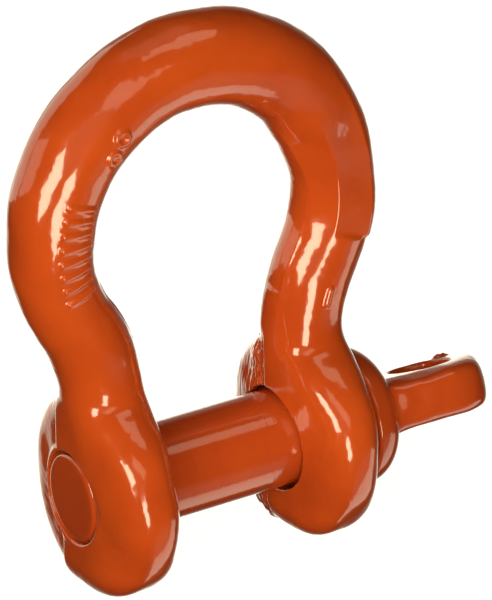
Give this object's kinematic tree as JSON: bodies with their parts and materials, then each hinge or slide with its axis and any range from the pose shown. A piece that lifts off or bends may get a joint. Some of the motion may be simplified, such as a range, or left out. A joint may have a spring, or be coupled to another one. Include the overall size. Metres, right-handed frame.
{
  "type": "bow shackle",
  "caption": "Forged bow shackle, painted orange, with a screw pin that has a collar and a flat eye. It joins a rope, chain or fitting to another.",
  "frame": {"origin": "on the pin's axis, midway between the ears", "axes": "+X along the pin towards its eye, +Z towards the crown of the bow, Y square to the plane of the bow"},
  "size_m": [0.099, 0.0412, 0.1103],
  "materials": {
    "bow_paint": "thick glossy orange enamel over forged steel",
    "pin_paint": "thick glossy orange enamel over forged steel"
  },
  "bodies": {
    "bow": {"bow": "bow_paint"},
    "collar": {"pin_collar": "pin_paint"},
    "pin": {"screw_pin": "pin_paint"}
  },
  "joints": [
    {"name": "pin_travel", "type": "slide", "parent": "bow", "child": "collar", "axis": [1, 0, 0], "range_m": [0, 0.0625]},
    {"name": "pin_turn", "type": "hinge", "parent": "collar", "child": "pin", "pos_m": [0, 0, 0], "axis": [1, 0, 0], "range_deg": [0, 9000]}
  ],
  "couplings": [
    {"joint": "pin_turn", "follows": "pin_travel", "rad_per_m": 2513.3}
  ]
}
